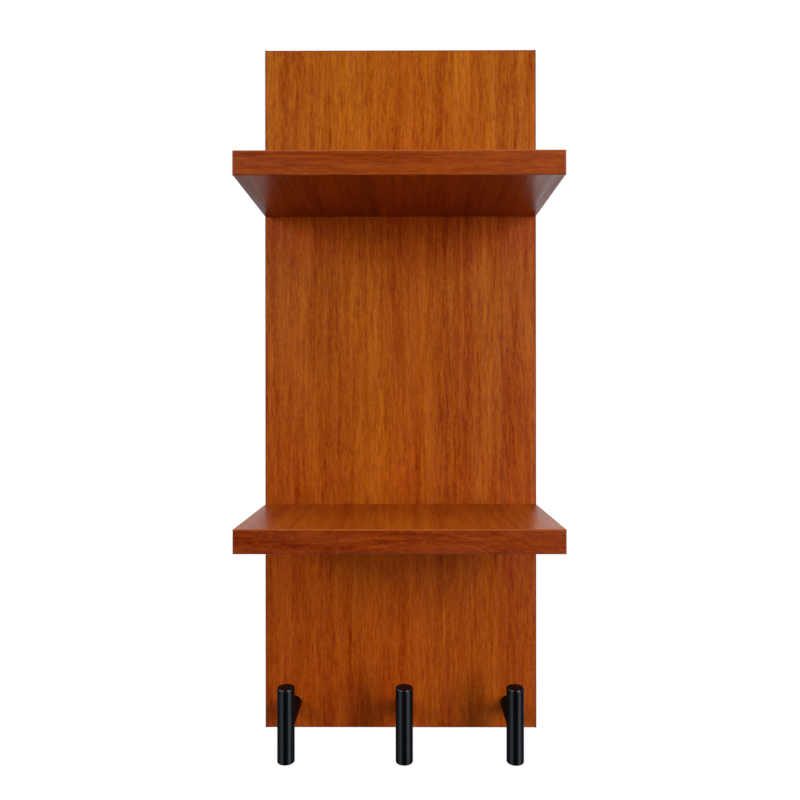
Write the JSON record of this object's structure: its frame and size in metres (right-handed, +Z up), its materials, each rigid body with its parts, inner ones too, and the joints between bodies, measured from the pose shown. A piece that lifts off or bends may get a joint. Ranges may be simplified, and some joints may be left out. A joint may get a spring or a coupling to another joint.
{
  "type": "wall shelf with hooks",
  "caption": "Upright wall-hung back panel in reddish-brown veneer, with short shelves standing out from its face and black T-bar hooks along its lower edge.",
  "frame": {"origin": "on the wall plane, at the back of the panel, midway between the two keyhole seats", "axes": "+Z up the panel, +Y out of its back into the wall, +X to the right of someone facing the front"},
  "size_m": [0.2, 0.115, 0.5074],
  "materials": {
    "panel_veneer": "satin lacquer, upright grain",
    "shelf_veneer": "satin lacquer, grain front to back",
    "edge_band": "satin lacquer, grain along the strip",
    "board_core": "raw fibreboard",
    "dowel_wood": "raw, fluted",
    "black_metal": "satin black",
    "zinc_steel": "bright zinc plate"
  },
  "bodies": {
    "root": {"back_panel_core": "board_core", "back_panel_front_veneer": "panel_veneer", "back_panel_back_veneer": "panel_veneer", "back_panel_left_band": "edge_band", "back_panel_right_band": "edge_band", "back_panel_top_band": "edge_band", "back_panel_bottom_band": "edge_band", "upper_shelf_core": "board_core", "upper_shelf_top_veneer": "shelf_veneer", "upper_shelf_bottom_veneer": "shelf_veneer", "upper_shelf_left_band": "edge_band", "upper_shelf_right_band": "edge_band", "upper_shelf_front_band": "edge_band", "lower_shelf_core": "board_core", "lower_shelf_top_veneer": "shelf_veneer", "lower_shelf_bottom_veneer": "shelf_veneer", "lower_shelf_left_band": "edge_band", "lower_shelf_right_band": "edge_band", "lower_shelf_front_band": "edge_band", "shelf_screws": "zinc_steel", "shelf_dowels": "dowel_wood", "left_hook_bar": "black_metal", "left_hook_post": "black_metal", "middle_hook_bar": "black_metal", "middle_hook_post": "black_metal", "right_hook_bar": "black_metal", "right_hook_post": "black_metal", "hook_studs": "zinc_steel", "hook_screws": "zinc_steel", "hook_washers": "zinc_steel", "left_hanger_plate": "zinc_steel", "right_hanger_plate": "zinc_steel", "hanger_screws": "zinc_steel"}
  },
  "joints": []
}
